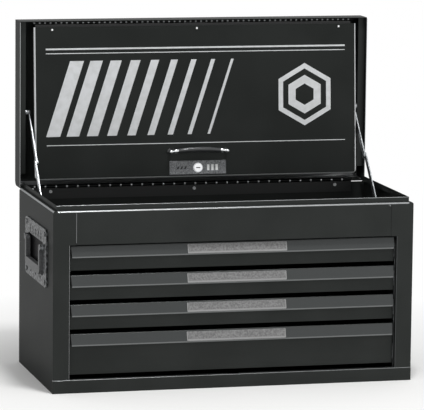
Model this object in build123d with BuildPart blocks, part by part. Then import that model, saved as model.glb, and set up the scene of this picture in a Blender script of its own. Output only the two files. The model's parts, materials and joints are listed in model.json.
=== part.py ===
# Four-drawer steel tool chest with a lift-up lid and a drop-front cover hung from the lid.
# Millimetres, +Z up, front towards -Y. The origin is the centre of the base on the floor.
# The lid stands open, the cover hangs inside it and the drawers are shut.
import math
import os
from build123d import *

os.makedirs("parts", exist_ok=True)

# Cabinet
body_width = 660.0
body_depth = 308.0
ledge_height = 325.0
sheet = 1.0
bend_radius = 1.5
ledge_radius = 4.0
rim_inset_side = 7.0
rim_inset_front = 6.0
rim_height = 9.0
rim_hem_thick = 2.6
rim_hem_height = 5.0
rim_hem_round = 1.1
header_height = 61.0
header_return = 10.0
header_seam_width = 41.0
seam_gap = 0.5
stile_width = 30.0
stile_return = 9.0
stile_bend = 0.9
rail_height = 24.0
rail_return = 9.0
till_depth = 55.0
till_flange = 14.0
overrun = 5.0

# Lid and its hinge
lid_height = 49.0
lid_bend = 4.0
lid_back_bend = 12.0
lid_flange_width = 12.0
lid_flange_set = 12.4
lid_gap = 1.0
hinge_clear = 0.3
hinge_radius = 2.5
hinge_pin_radius = 1.5
running_gap = 0.05
hinge_knuckles = 15
hinge_margin = 26.0
hinge_leaf_height = 20.0
knuckle_gap = 0.4
leaf_relief = 0.7
back_drop = 3.5
corner_notch = 5.0

# Drop-front cover
cover_side_gap = 24.0
cover_reach = 287.5
cover_tilt = 4.0
cover_fold = 9.0
cover_bend = 4.0
cover_setback = 6.0
cover_start = 7.5
cover_corner = 8.0
cover_axis_rise = 9.5
cover_leaf_foot = 14.0
front_skirt_cut = 2.6
rear_skirt_cut = 3.5

# Fasteners
rivet_radius = 2.4
rivet_head_radius = 4.5
rivet_head = 1.4
hinge_rivet_radius = 1.6
hinge_rivet_head_radius = 3.0
hinge_rivet_margin = 32.0
hinge_rivet_count = 3
hinge_rivet_drop = 8.5
cover_rivet_drop = 4.0
single_row = 1

# Lock and bar pull on the cover
lock_plate_width = 108.0
lock_plate_height = 26.0
lock_plate_thick = 2.0
lock_plate_bevel = 1.2
lock_from_edge = 17.5
lock_barrel_radius = 9.0
lock_nut_sides = 6
lock_cam_room = 3.0
lock_plug_radius = 7.5
lock_plug_proud = 1.6
lock_slot_width = 1.6
lock_slot_length = 8.0
lock_slot_depth = 3.0
lock_cam_length = 46.0
lock_cam_width = 14.0
lock_cam_thick = 2.0
lock_cam_set = 1.0
pull_from_edge = 50.0
pull_span = 106.0
pull_height = 24.0
pull_post_radius = 5.5
pull_post_flange = 7.5
pull_post_flange_thick = 3.0
pull_grip_radius = 6.0
pull_ferrule = 9.0

# Elbow stays
stay_lid_reach = 136.0
stay_lid_set = 18.5
stay_body_forward = 136.5
stay_body_drop = 30.0
stay_width = 11.0
stay_thick = 2.0
stay_gap = 0.5
stay_inset = 3.5
stay_pin_radius = 3.0
stay_head_radius = 5.0
stay_head = 1.2

# Drawers, counted from the top
drawer_count = 4
drawer_side_gap = 1.5
drawer_pitch_share = 0.21875
drawer_top_gap = 2.0
drawer_row_gap = 8.0
drawer_foot_gap = 7.5
drawer_recess = 11.0
pull_drop = 19.0
pull_proud = 9.0
pull_top_flat = 4.2
pull_lip = 2.0
tray_side_gap = 12.5
tray_length = 266.0
tray_rise = 3.0
tray_headroom = 9.0
label_width = 182.0
label_offset = 5.0
label_height = 17.0
label_drop = 1.0
label_thick = 0.8

# Ball-bearing slides
slide_space = 14.5
slide_length = 262.0
slide_height = 27.0
slide_sheet = 1.2
slide_flange = 10.0
slide_ball_gap = 3.2
slide_rise = 20.0
cage_length = 70.0
cage_sheet = 0.8
post_width = 40.0
post_setback = 3.0

# Side handles
handle_width = 190.0
handle_height = 104.0
handle_drop = 92.5
handle_shift = -10.0
handle_plate_thick = 2.5
handle_corner = 12.0
window_width = 132.0
window_height = 60.0
window_drop = 4.0
bail_gap = 1.0
bail_thick = 8.0
bail_leg = 10.0
bail_grip = 16.0
bail_corner = 14.0
bail_side_gap = 1.0
ear_length = 8.0
handle_pin_radius = 2.5
handle_slot_width = 5.0
handle_slot_height = 14.0
handle_slot_pitch = 24.0
handle_slot_count = 5
handle_slot_edge = 17.0
handle_hole_radius = 3.0
handle_hole_pitch = 42.0
handle_hole_count = 3
handle_hole_edge = 12.0
handle_rivet_inset = 14.0
handle_rivet_edge = 9.0
handle_rivet_rows = 2

# Places worked out from those sizes
half_width = body_width / 2
rail_y = -body_depth / 2
face_y = rail_y + sheet
back_y = body_depth / 2
inner_x = half_width - sheet
rim_x = half_width - rim_inset_side
rim_y = face_y + rim_inset_front
rim_top = ledge_height + rim_height
opening_top = ledge_height - header_height
opening_half = half_width - stile_width
till_z = ledge_height - till_depth
hinge_y = back_y - sheet - hinge_radius
hinge_z = ledge_height + lid_gap
lid_reach = hinge_y - rail_y
handle_centre_height = ledge_height - handle_drop
hinge_half = half_width - hinge_margin
hinge_rivet_spacing = hinge_half - hinge_rivet_margin
cover_width = body_width - cover_side_gap * 2
drawer_width = (opening_half - drawer_side_gap) * 2
tray_width = drawer_width - tray_side_gap * 2
cover_axis_reach = lid_reach - sheet - hinge_radius - hinge_clear
cover_y = hinge_y + cover_axis_rise
cover_z = hinge_z + cover_axis_reach
cover_face = cover_setback + cover_fold

# The lid's own plane: sketch x is -X, sketch y runs from the hinge to the front edge, depth is +Y.
lid_plane = Plane(origin=(0, hinge_y, hinge_z), x_dir=(-1, 0, 0), z_dir=(0, 1, 0))
# The cover's own plane: sketch y runs up to the cover hinge, depth is towards the viewer.
tilt_sin = math.sin(math.radians(cover_tilt))
tilt_cos = math.cos(math.radians(cover_tilt))
cover_plane = Plane(origin=(0, cover_y, cover_z), x_dir=(1, 0, 0), z_dir=(0, -tilt_cos, tilt_sin))
# The cover's side section: sketch x is depth towards the viewer, sketch y runs down the cover.
cover_section = Plane(
    origin=(0, cover_y, cover_z), x_dir=(0, -tilt_cos, tilt_sin), z_dir=(1, 0, 0)
)
cover_depth_axis = Axis((0, cover_y, cover_z), (0, -tilt_cos, tilt_sin))
sides = {"left": -1, "right": 1}
handle_rivet_grid = (
    handle_width - handle_rivet_inset * 2,
    handle_height - handle_rivet_edge * 2,
    handle_rivet_rows,
    handle_rivet_rows,
)
hinge_rivet_grid = (hinge_rivet_spacing, hinge_rivet_spacing, hinge_rivet_count, single_row)


def save(builder, name):
    builder.part.label = name
    export_step(builder.part, f"parts/{name}.step")


def handle_plane(sign):
    # A side handle's own plane on the outside of a wall: sketch y is up, depth is outwards.
    return Plane(
        origin=(sign * half_width, handle_shift, handle_centre_height),
        x_dir=(0, sign, 0),
        z_dir=(sign, 0, 0),
    )


def folded(plane, points, radii, side):
    # Section of one folded sheet: the points follow one surface, the wall lies to the given side.
    with BuildSketch(plane) as section:
        with BuildLine():
            FilletPolyline(*points, radius=radii)
            offset(amount=sheet, side=side)
        make_face()
    return section.sketch


# Side panels: wall, ledge and rim in one section, with the front stile folded round
for side_name, sign in sides.items():
    with BuildPart() as side_panel:
        wall = folded(
            Plane.XZ.offset(-back_y),
            [
                (sign * half_width, 0),
                (sign * half_width, ledge_height),
                (sign * (rim_x - sheet), ledge_height),
            ],
            ledge_radius,
            Side.LEFT if sign > 0 else Side.RIGHT,
        )
        extrude(wall, amount=back_y - face_y)
        with BuildSketch(Plane.XZ.offset(-face_y - sheet)) as stile:
            with BuildLine():
                Polyline(
                    (sign * half_width, 0),
                    (sign * half_width, ledge_height - ledge_radius),
                    (sign * (half_width - ledge_radius), ledge_height - sheet / 2),
                    (sign * (rim_x - sheet), ledge_height - sheet / 2),
                    (sign * (rim_x - sheet), ledge_height - ledge_radius),
                    (sign * (half_width - header_seam_width), ledge_height - ledge_radius),
                    (sign * (half_width - header_seam_width), opening_top),
                    (sign * opening_half, opening_top),
                    (sign * opening_half, 0),
                    close=True,
                )
            make_face()
        extrude(amount=sheet)
        # The stile turns back into the opening beside the drawers
        with BuildSketch(Plane.XY):
            with Locations((sign * (opening_half + sheet / 2), face_y)):
                Rectangle(sheet, sheet + stile_return, align=(Align.CENTER, Align.MIN))
        extrude(amount=opening_top)
        stile_corner = (sign * opening_half, face_y, opening_top / 2)
        fillet(side_panel.edges().filter_by(Axis.Z).sort_by_distance(stile_corner)[0], stile_bend)
        with BuildSketch(Plane.XY.offset(ledge_height - sheet)):
            with Locations((sign * (rim_x - sheet / 2), (rim_y + back_y - corner_notch) / 2)):
                Rectangle(sheet, back_y - corner_notch - rim_y)
        extrude(amount=rim_height + sheet)
        # Room for the lid's rear corner as it swings down behind the back panel
        with BuildSketch(Plane.XY.offset(ledge_height - back_drop)):
            with Locations((sign * half_width, back_y)):
                Rectangle(body_width / 2, corner_notch * 2)
        extrude(amount=rim_height * 2, mode=Mode.SUBTRACT)
        with BuildSketch(handle_plane(sign).offset(-overrun)):
            with GridLocations(*handle_rivet_grid):
                Circle(rivet_radius)
        extrude(amount=overrun * 2, mode=Mode.SUBTRACT)
        # The base pan's floor passes under the wall
        with BuildSketch(Plane.XY):
            Rectangle(body_width + overrun, body_depth + overrun)
        extrude(amount=sheet, mode=Mode.SUBTRACT)
    save(side_panel, f"side_panel_{side_name}")

# Header: face between the stiles, ledge and rim across the front
with BuildPart() as header_panel:
    face = folded(
        Plane.YZ,
        [
            (face_y + header_return, opening_top),
            (face_y, opening_top),
            (face_y, ledge_height - ledge_radius),
        ],
        bend_radius,
        Side.RIGHT,
    )
    extrude(face, amount=half_width - header_seam_width - seam_gap, both=True)
    ledge = folded(
        Plane.YZ,
        [
            (face_y, ledge_height - ledge_radius - sheet / 2),
            (face_y, ledge_height),
            (rim_y + sheet, ledge_height),
        ],
        ledge_radius,
        Side.RIGHT,
    )
    extrude(ledge, amount=rim_x - sheet, both=True)
    with BuildSketch(Plane.XY.offset(ledge_height - sheet)):
        with Locations((0, rim_y + sheet / 2)):
            Rectangle((rim_x - sheet) * 2, sheet)
    extrude(amount=rim_height + sheet)
    # The rim's top edge is hemmed inwards
    with BuildSketch(Plane.XY.offset(rim_top - rim_hem_height)):
        with Locations((0, rim_y)):
            Rectangle((rim_x - sheet) * 2, rim_hem_thick, align=(Align.CENTER, Align.MIN))
    extrude(amount=rim_hem_height)
    fillet(header_panel.edges().filter_by(Axis.X).group_by(Axis.Z)[-1], rim_hem_round)
    # The ledge's tail stands on the stiles outside the seams
    with BuildSketch(Plane.XY.offset(ledge_height - ledge_radius - sheet)):
        with Locations((-half_width, face_y), (half_width, face_y)):
            Rectangle((header_seam_width + seam_gap) * 2, sheet * 4)
    extrude(amount=sheet, mode=Mode.SUBTRACT)
save(header_panel, "header_panel")

with BuildPart() as back_panel:
    with BuildSketch(Plane.XZ.offset(-back_y)):
        with Locations((0, (sheet + ledge_height - back_drop) / 2)):
            Rectangle(inner_x * 2, ledge_height - back_drop - sheet)
    extrude(amount=sheet)
    with BuildSketch(Plane.XZ.offset(-back_y - overrun)):
        with Locations((0, ledge_height - hinge_rivet_drop)):
            with GridLocations(*hinge_rivet_grid):
                Circle(hinge_rivet_radius)
    extrude(amount=sheet + overrun * 2, mode=Mode.SUBTRACT)
save(back_panel, "back_panel")

# Base pan: floor with the bottom rail folded up in front of the stiles
with BuildPart() as base_pan:
    pan = folded(
        Plane.YZ,
        [
            (rail_y + sheet + rail_return, rail_height),
            (rail_y, rail_height),
            (rail_y, 0),
            (back_y, 0),
        ],
        bend_radius,
        Side.LEFT,
    )
    extrude(pan, amount=half_width, both=True)
    # The rail's top fold stops short of the stiles that stand behind it
    with BuildSketch(Plane.XY.offset(sheet)):
        with Locations((-half_width, face_y), (half_width, face_y)):
            Rectangle(stile_width * 2, (rail_return + sheet) * 2, align=(Align.CENTER, Align.MIN))
    extrude(amount=rail_height, mode=Mode.SUBTRACT)
    # Notch in the rail's top fold that takes the lock's cam
    with BuildSketch(Plane.XY.offset(rail_height / 2)):
        with Locations((0, face_y)):
            Rectangle(
                lock_cam_width + lock_cam_room * 2,
                (rail_return + sheet) * 2,
                align=(Align.CENTER, Align.MIN),
            )
    extrude(amount=rail_height, mode=Mode.SUBTRACT)
save(base_pan, "base_pan")

# Till floor: tray under the lid, its flanges fixed to the side walls
with BuildPart() as till_floor:
    tray = folded(
        Plane.XZ.offset(-(back_y - sheet)),
        [
            (-inner_x, till_z - till_flange),
            (-inner_x, till_z),
            (inner_x, till_z),
            (inner_x, till_z - till_flange),
        ],
        bend_radius,
        Side.RIGHT,
    )
    extrude(tray, amount=back_y - face_y - sheet * 2)
save(till_floor, "till_floor")

# Drawer rows: the height of each drawer's top and foot, the bottom one taking what is left
drawer_pitch = (opening_top - rail_height) * drawer_pitch_share
drawer_rows = []
for row in range(drawer_count):
    row_top = opening_top - drawer_top_gap - row * drawer_pitch
    row_foot = row_top - drawer_pitch + drawer_row_gap
    if row == drawer_count - 1:
        row_foot = rail_height + drawer_foot_gap
    drawer_rows.append((row + 1, row_top, row_foot))

drawer_face_y = face_y + drawer_recess
tray_half = tray_width / 2
tray_front = drawer_face_y + sheet
slide_start = tray_front + post_setback
slide_x = tray_half + slide_space
post_depth = inner_x - slide_x

# Uprights that carry the slides off the side walls: channels open towards the wall
for side_name, sign in sides.items():
    with BuildPart() as runner_posts:
        for post_y in (slide_start, slide_start + slide_length - post_width):
            post = folded(
                Plane.XY.offset(sheet),
                [
                    (sign * inner_x, post_y),
                    (sign * slide_x, post_y),
                    (sign * slide_x, post_y + post_width),
                    (sign * inner_x, post_y + post_width),
                ],
                bend_radius,
                Side.LEFT if sign < 0 else Side.RIGHT,
            )
            extrude(post, amount=till_z - till_flange - sheet * 2)
    save(runner_posts, f"runner_posts_{side_name}")


def slide_channel(sign, web_x, mid_z, height, thick, flange):
    # One C-shaped slide member's section, its web at web_x and its mouth facing the drawer or the wall.
    web_end = web_x + math.copysign(flange, sign)
    side = Side.LEFT if sign < 0 else Side.RIGHT
    with BuildSketch(Plane.XZ.offset(-slide_start)) as section:
        with BuildLine():
            Polyline(
                (web_end, mid_z - height / 2),
                (web_x, mid_z - height / 2),
                (web_x, mid_z + height / 2),
                (web_end, mid_z + height / 2),
            )
            offset(amount=thick, side=side, kind=Kind.INTERSECTION)
        make_face()
    return section.sketch


drawer_member_height = slide_height - (slide_sheet + slide_ball_gap) * 2
cage_height = drawer_member_height + slide_ball_gap
for side_name, sign in sides.items():
    with BuildPart() as cabinet_runners:
        for row, row_top, row_foot in drawer_rows:
            channel = slide_channel(
                -sign, sign * slide_x, row_foot + slide_rise, slide_height, slide_sheet, slide_flange
            )
            extrude(channel, amount=-slide_length)
    save(cabinet_runners, f"cabinet_runners_{side_name}")

for row, row_top, row_foot in drawer_rows:
    tray_foot = row_foot + tray_rise
    tray_top = row_top - tray_headroom
    with BuildPart() as drawer_box:
        with BuildSketch(Plane.XY.offset(tray_foot)):
            with Locations((0, tray_front + tray_length / 2)):
                Rectangle(tray_width, tray_length)
        extrude(amount=tray_top - tray_foot)
        fillet(drawer_box.edges().filter_by(Axis.Z), bend_radius)
        offset(amount=-sheet, openings=drawer_box.faces().sort_by(Axis.Z)[-1])
    save(drawer_box, f"drawer_{row}_box")

    # Drawer front: face folded over at the top into the full-width sloping pull
    with BuildPart() as drawer_front:
        front = folded(
            Plane.YZ,
            [
                (tray_front, row_foot),
                (tray_front, row_top),
                (tray_front - pull_top_flat, row_top),
                (tray_front - sheet - pull_proud, row_top - pull_drop),
                (tray_front - sheet - pull_proud, row_top - pull_drop - pull_lip),
            ],
            bend_radius,
            Side.LEFT,
        )
        extrude(front, amount=drawer_width / 2, both=True)
    save(drawer_front, f"drawer_{row}_front")

    # Label strip lying on the pull's slope
    slope_top = Vector(0, tray_front - pull_top_flat, row_top)
    slope_foot = Vector(0, tray_front - sheet - pull_proud, row_top - pull_drop)
    slope = (slope_foot - slope_top).normalized()
    slope_plane = Plane(
        origin=(slope_top + slope_foot) / 2, x_dir=(1, 0, 0), z_dir=Vector(1, 0, 0).cross(slope * -1)
    )
    with BuildPart() as drawer_label:
        with BuildSketch(slope_plane):
            with Locations((label_offset, -label_drop)):
                RectangleRounded(label_width, label_height, bend_radius)
        extrude(amount=label_thick)
    save(drawer_label, f"drawer_{row}_label")

    with BuildPart() as drawer_runners:
        for sign in sides.values():
            channel = slide_channel(
                sign,
                sign * tray_half,
                row_foot + slide_rise,
                drawer_member_height,
                slide_sheet,
                slide_flange,
            )
            extrude(channel, amount=-slide_length)
    save(drawer_runners, f"drawer_{row}_runners")

    # Ball cages lie between the two members of each slide and move half as far as the drawer
    with BuildPart() as ball_cages:
        for sign in sides.values():
            channel = slide_channel(
                -sign,
                sign * (slide_x - slide_sheet - cage_sheet / 2),
                row_foot + slide_rise,
                cage_height,
                cage_sheet,
                slide_flange - slide_sheet,
            )
            cage_at = (slide_length - cage_length) / 2
            extrude(Location((0, cage_at, 0)) * channel, amount=-cage_length)
    save(ball_cages, f"drawer_{row}_ball_cages")


def knuckle_spans(first):
    # The X spans of every other knuckle along a full-width hinge.
    pitch = hinge_half * 2 / hinge_knuckles
    spans = []
    for index in range(first, hinge_knuckles, 2):
        low = -hinge_half + index * pitch
        spans.append((low + knuckle_gap / 2, low + pitch - knuckle_gap / 2))
    return spans


def barrel_section(plane, tangent_x, tangent_y, leaf_x, leaf_y):
    # One knuckle's section about the sketch origin, with the tab that runs to its leaf.
    with BuildSketch(plane) as section:
        Circle(hinge_radius)
        with Locations(((tangent_x + leaf_x) / 2, (tangent_y + leaf_y) / 2)):
            Rectangle(abs(leaf_x - tangent_x), abs(leaf_y - tangent_y))
        Circle(hinge_pin_radius + running_gap, mode=Mode.SUBTRACT)
    return section.sketch


def add_knuckles(section, first):
    # Repeats a knuckle's section along the hinge.
    for low, high in knuckle_spans(first):
        extrude(Location((low, 0, 0)) * section, amount=high - low)


leaf_reach = hinge_radius + leaf_relief
hinge_section = Plane(origin=(0, hinge_y, hinge_z), x_dir=(0, 1, 0), z_dir=(1, 0, 0))

# Piano hinge of the lid: one leaf inside the back panel, the other inside the lid's rear skirt
with BuildPart() as lid_hinge_body_leaf:
    with BuildSketch(Plane.XZ.offset(-(back_y - sheet))):
        with Locations((0, hinge_z - leaf_reach)):
            Rectangle(hinge_half * 2, hinge_leaf_height, align=(Align.CENTER, Align.MAX))
    extrude(amount=sheet)
    add_knuckles(
        barrel_section(
            hinge_section, hinge_radius, 0, hinge_radius - sheet, -leaf_reach - sheet / 2
        ),
        0,
    )
    with BuildSketch(Plane.XZ.offset(-back_y - overrun)):
        with Locations((0, ledge_height - hinge_rivet_drop)):
            with GridLocations(*hinge_rivet_grid):
                Circle(hinge_rivet_radius)
    extrude(amount=sheet * 2 + overrun * 2, mode=Mode.SUBTRACT)
save(lid_hinge_body_leaf, "lid_hinge_body_leaf")

with BuildPart() as lid_hinge_lid_leaf:
    with BuildSketch(Plane.XY.offset(hinge_z - hinge_radius)):
        with Locations((0, hinge_y + leaf_reach)):
            Rectangle(hinge_half * 2, hinge_leaf_height, align=(Align.CENTER, Align.MIN))
    extrude(amount=sheet)
    add_knuckles(
        barrel_section(
            hinge_section, 0, -hinge_radius, leaf_reach + sheet / 2, sheet - hinge_radius
        ),
        1,
    )
save(lid_hinge_lid_leaf, "lid_hinge_lid_leaf")

with BuildPart() as lid_hinge_pin:
    with BuildSketch(Plane.YZ.offset(-hinge_half)):
        with Locations((hinge_y, hinge_z)):
            Circle(hinge_pin_radius)
    extrude(amount=hinge_half * 2)
save(lid_hinge_pin, "lid_hinge_pin")

# Rivets through the back panel and the body leaf, with a head on each side
with BuildPart() as lid_hinge_rivets:
    for index in (-1, 0, 1):
        rivet_plane = Plane(
            origin=(index * hinge_rivet_spacing, back_y, ledge_height - hinge_rivet_drop),
            x_dir=(1, 0, 0),
            z_dir=(0, -1, 0),
        )
        with BuildSketch(rivet_plane):
            Circle(hinge_rivet_radius)
        extrude(amount=sheet * 2)
        with BuildSketch(rivet_plane.offset(sheet * 2)):
            Circle(hinge_rivet_head_radius)
        extrude(amount=rivet_head)
        with BuildSketch(rivet_plane):
            Circle(hinge_rivet_head_radius)
        extrude(amount=-rivet_head)
save(lid_hinge_rivets, "lid_hinge_rivets")

# Lid: a pan standing open on its hinge
with BuildPart() as lid_shell:
    with BuildSketch(lid_plane):
        with Locations((0, lid_reach)):
            Rectangle(
                body_width, lid_reach + hinge_radius + sheet, align=(Align.CENTER, Align.MAX)
            )
    extrude(amount=lid_height)
    top_edges = lid_shell.faces().sort_by(Axis.Y)[-1].edges()
    fillet(top_edges.sort_by(Axis.Z)[0], lid_back_bend)
    crown = lid_shell.faces().sort_by(Axis.Y)[-1].edges().sort_by(Axis.Z)[1:]
    fillet(crown, lid_bend)
    offset(amount=-sheet, openings=lid_shell.faces().sort_by(Axis.Y)[0])
    # Inward flanges stiffen the side skirts just above the body's rim
    with BuildSketch(lid_plane.offset(lid_flange_set)):
        flange_length = lid_reach - hinge_leaf_height - leaf_reach - sheet
        flange_x = inner_x - lid_flange_width / 2
        with Locations((-flange_x, lid_reach - sheet), (flange_x, lid_reach - sheet)):
            Rectangle(lid_flange_width, flange_length, align=(Align.CENTER, Align.MAX))
    extrude(amount=sheet)
    # The front skirt stops short so that the hanging cover's top fold passes under it
    with BuildSketch(lid_plane):
        with Locations((0, lid_reach)):
            Rectangle(body_width + overrun, sheet * 4)
    extrude(amount=front_skirt_cut, mode=Mode.SUBTRACT)
    # The rear skirt stops short of the body's hinge leaf
    with BuildSketch(lid_plane):
        Rectangle(body_width + overrun, lid_height, align=(Align.CENTER, Align.MAX))
    extrude(amount=rear_skirt_cut, mode=Mode.SUBTRACT)
save(lid_shell, "lid_shell")

# Piano hinge of the cover: one leaf inside the lid's front skirt, the other folded round the cover's top
cover_hinge_section = Plane(origin=(0, cover_y, cover_z), x_dir=(0, 1, 0), z_dir=(1, 0, 0))
skirt_face = hinge_radius + hinge_clear
with BuildPart() as cover_hinge_lid_leaf:
    with BuildSketch(Plane.XY.offset(cover_z + skirt_face)):
        with Locations((0, cover_y + leaf_reach)):
            Rectangle(hinge_half * 2, cover_leaf_foot, align=(Align.CENTER, Align.MIN))
    extrude(amount=-sheet)
    add_knuckles(
        barrel_section(
            cover_hinge_section, 0, skirt_face, leaf_reach + sheet / 2, skirt_face - sheet
        ),
        0,
    )
save(cover_hinge_lid_leaf, "cover_hinge_lid_leaf")

with BuildPart() as cover_hinge_pin:
    with BuildSketch(Plane.YZ.offset(-hinge_half)):
        with Locations((cover_y, cover_z)):
            Circle(hinge_pin_radius)
    extrude(amount=hinge_half * 2)
save(cover_hinge_pin, "cover_hinge_pin")

cover_rivet_at = cover_start + sheet + cover_rivet_drop
with BuildPart() as cover_hinge_leaf:
    with BuildSketch(cover_section):
        with BuildLine():
            Polyline(
                (-hinge_radius, leaf_reach),
                (-hinge_radius, cover_start + sheet),
                (cover_face - sheet * 2, cover_start + sheet),
                (cover_face - sheet * 2, cover_start + sheet + cover_leaf_foot),
                (cover_face - sheet, cover_start + sheet + cover_leaf_foot),
                (cover_face - sheet, cover_start),
                (sheet - hinge_radius, cover_start),
                (sheet - hinge_radius, leaf_reach),
                close=True,
            )
        make_face()
    extrude(amount=hinge_half - cover_bend, both=True)
    add_knuckles(
        barrel_section(
            cover_section, -hinge_radius, 0, sheet - hinge_radius, leaf_reach + sheet / 2
        ),
        1,
    )
    with BuildSketch(cover_plane):
        with Locations((0, -cover_rivet_at)):
            with GridLocations(*hinge_rivet_grid):
                Circle(hinge_rivet_radius)
    extrude(amount=cover_face, mode=Mode.SUBTRACT)
save(cover_hinge_leaf, "cover_hinge_leaf")

# Cover: flat panel with its sides and foot folded back
lock_at = cover_reach - lock_from_edge
pull_at = cover_reach - pull_from_edge
lock_hole_radius = lock_barrel_radius + running_gap
with BuildPart() as cover_panel:
    with BuildSketch(cover_plane.offset(cover_setback)):
        with Locations((0, -cover_start)):
            Rectangle(cover_width, cover_reach - cover_start, align=(Align.CENTER, Align.MAX))
        foot_corners = vertices().sort_by(Axis.Y)[:2]
        fillet(foot_corners, cover_corner)
    extrude(amount=cover_fold)
    front_face = cover_panel.faces().sort_by(cover_depth_axis)[-1]
    fillet(front_face.edges().sort_by(Axis.Z)[:-1], cover_bend)
    back_face = cover_panel.faces().sort_by(cover_depth_axis)[0]
    top_face = cover_panel.faces().sort_by(Axis.Z)[-1]
    offset(amount=-sheet, openings=[back_face, top_face])
    with BuildSketch(cover_plane):
        with Locations((0, -cover_rivet_at)):
            with GridLocations(*hinge_rivet_grid):
                Circle(hinge_rivet_radius)
        with Locations((0, -lock_at)):
            Circle(lock_hole_radius)
    extrude(amount=cover_face + overrun, mode=Mode.SUBTRACT)
save(cover_panel, "cover_panel")

with BuildPart() as cover_hinge_rivets:
    for index in (-1, 0, 1):
        spot = (index * hinge_rivet_spacing, -cover_rivet_at)
        with BuildSketch(cover_plane.offset(cover_face - sheet * 2)):
            with Locations(spot):
                Circle(hinge_rivet_radius)
        extrude(amount=sheet * 2)
        with BuildSketch(cover_plane.offset(cover_face)):
            with Locations(spot):
                Circle(hinge_rivet_head_radius)
        extrude(amount=rivet_head)
save(cover_hinge_rivets, "cover_hinge_rivets")

# Cam lock: bevelled plate, fixed barrel with its nut, turning plug and cam
with BuildPart() as lock_plate:
    with BuildSketch(cover_plane.offset(cover_face)):
        with Locations((0, -lock_at)):
            RectangleRounded(lock_plate_width, lock_plate_height, lock_plate_bevel)
    extrude(amount=lock_plate_thick)
    plate_top = lock_plate.faces().sort_by(cover_depth_axis)[-1]
    chamfer(plate_top.edges(), lock_plate_bevel)
    with BuildSketch(cover_plane):
        with Locations((0, -lock_at)):
            Circle(lock_hole_radius)
    extrude(amount=cover_face + overrun, mode=Mode.SUBTRACT)
save(lock_plate, "lock_plate")

lock_front = cover_face + lock_plate_thick
lock_nut_radius = lock_barrel_radius + lock_plate_thick * 2
with BuildPart() as lock_barrel:
    with BuildSketch(cover_plane.offset(cover_setback)):
        with Locations((0, -lock_at)):
            Circle(lock_barrel_radius)
    extrude(amount=lock_front - cover_setback)
    with BuildSketch(cover_plane.offset(cover_face - sheet)):
        with Locations((0, -lock_at)):
            RegularPolygon(lock_nut_radius, lock_nut_sides)
    extrude(amount=-lock_plate_thick * 2)
    with BuildSketch(cover_plane):
        with Locations((0, -lock_at)):
            Circle(lock_plug_radius + running_gap)
    extrude(amount=lock_front + overrun, mode=Mode.SUBTRACT)
save(lock_barrel, "lock_barrel")

with BuildPart() as lock_plug:
    with BuildSketch(cover_plane.offset(lock_cam_set)):
        with Locations((0, -lock_at)):
            Circle(lock_plug_radius)
    extrude(amount=lock_front + lock_plug_proud - lock_cam_set)
    with BuildSketch(cover_plane.offset(lock_front + lock_plug_proud)):
        with Locations((0, -lock_at)):
            Rectangle(lock_slot_length, lock_slot_width)
    extrude(amount=-lock_slot_depth, mode=Mode.SUBTRACT)
save(lock_plug, "lock_plug")

with BuildPart() as lock_cam:
    with BuildSketch(cover_plane.offset(lock_cam_set)):
        with Locations(((lock_cam_length - lock_cam_width / 2) / 2, -lock_at)):
            SlotCenterToCenter(lock_cam_length - lock_cam_width / 2, lock_cam_width)
    extrude(amount=-lock_cam_thick)
save(lock_cam, "lock_cam")

# Bar pull: two plated posts that turn in towards a black grip
pull_axis_depth = cover_face + pull_height - pull_grip_radius
with BuildPart() as pull_posts:
    for sign in sides.values():
        spot = (sign * pull_span / 2, -pull_at)
        with BuildSketch(cover_plane.offset(cover_face)):
            with Locations(spot):
                Circle(pull_post_flange)
        extrude(amount=pull_post_flange_thick)
        with BuildSketch(cover_plane.offset(cover_face)):
            with Locations(spot):
                Circle(pull_post_radius)
        extrude(amount=pull_height)
        ferrule_plane = Plane(
            origin=cover_plane.from_local_coords((*spot, pull_axis_depth)),
            x_dir=cover_plane.y_dir,
            z_dir=(-sign, 0, 0),
        )
        with BuildSketch(ferrule_plane):
            Circle(pull_post_radius)
        extrude(amount=pull_ferrule)
save(pull_posts, "pull_posts")

with BuildPart() as pull_grip:
    grip_half = pull_span / 2 - pull_ferrule
    grip_plane = Plane(
        origin=cover_plane.from_local_coords((0, -pull_at, pull_axis_depth)),
        x_dir=cover_plane.y_dir,
        z_dir=(1, 0, 0),
    )
    with BuildSketch(grip_plane):
        Circle(pull_grip_radius)
    extrude(amount=grip_half, both=True)
    chamfer(pull_grip.edges().filter_by(GeomType.CIRCLE), sheet)
save(pull_grip, "pull_grip")

# Elbow stays: two flat links a side, straight while the lid stands open
lid_pivot = Vector(0, hinge_y + stay_lid_set, hinge_z + stay_lid_reach)
body_pivot = Vector(0, hinge_y - stay_body_forward, ledge_height - stay_body_drop)
stay_line = (lid_pivot - body_pivot).normalized()
link_length = (lid_pivot - body_pivot).length / 2
upper_x = cover_width / 2 + stay_inset
lower_x = upper_x + stay_thick + stay_gap
pin_hole_radius = stay_pin_radius + running_gap
head_gap = running_gap * 2


def stay_link(sign, link_x, pivot, direction):
    # One flat link with an eye at each end, its outer face away from the middle of the chest.
    link_plane = Plane(
        origin=pivot + Vector(sign * link_x, 0, 0), x_dir=direction, z_dir=(sign, 0, 0)
    )
    with BuildPart() as link:
        with BuildSketch(link_plane):
            with Locations((link_length / 2, 0)):
                SlotCenterToCenter(link_length, stay_width)
            with Locations((0, 0), (link_length, 0)):
                Circle(pin_hole_radius, mode=Mode.SUBTRACT)
        extrude(amount=stay_thick)
    return link


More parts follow.
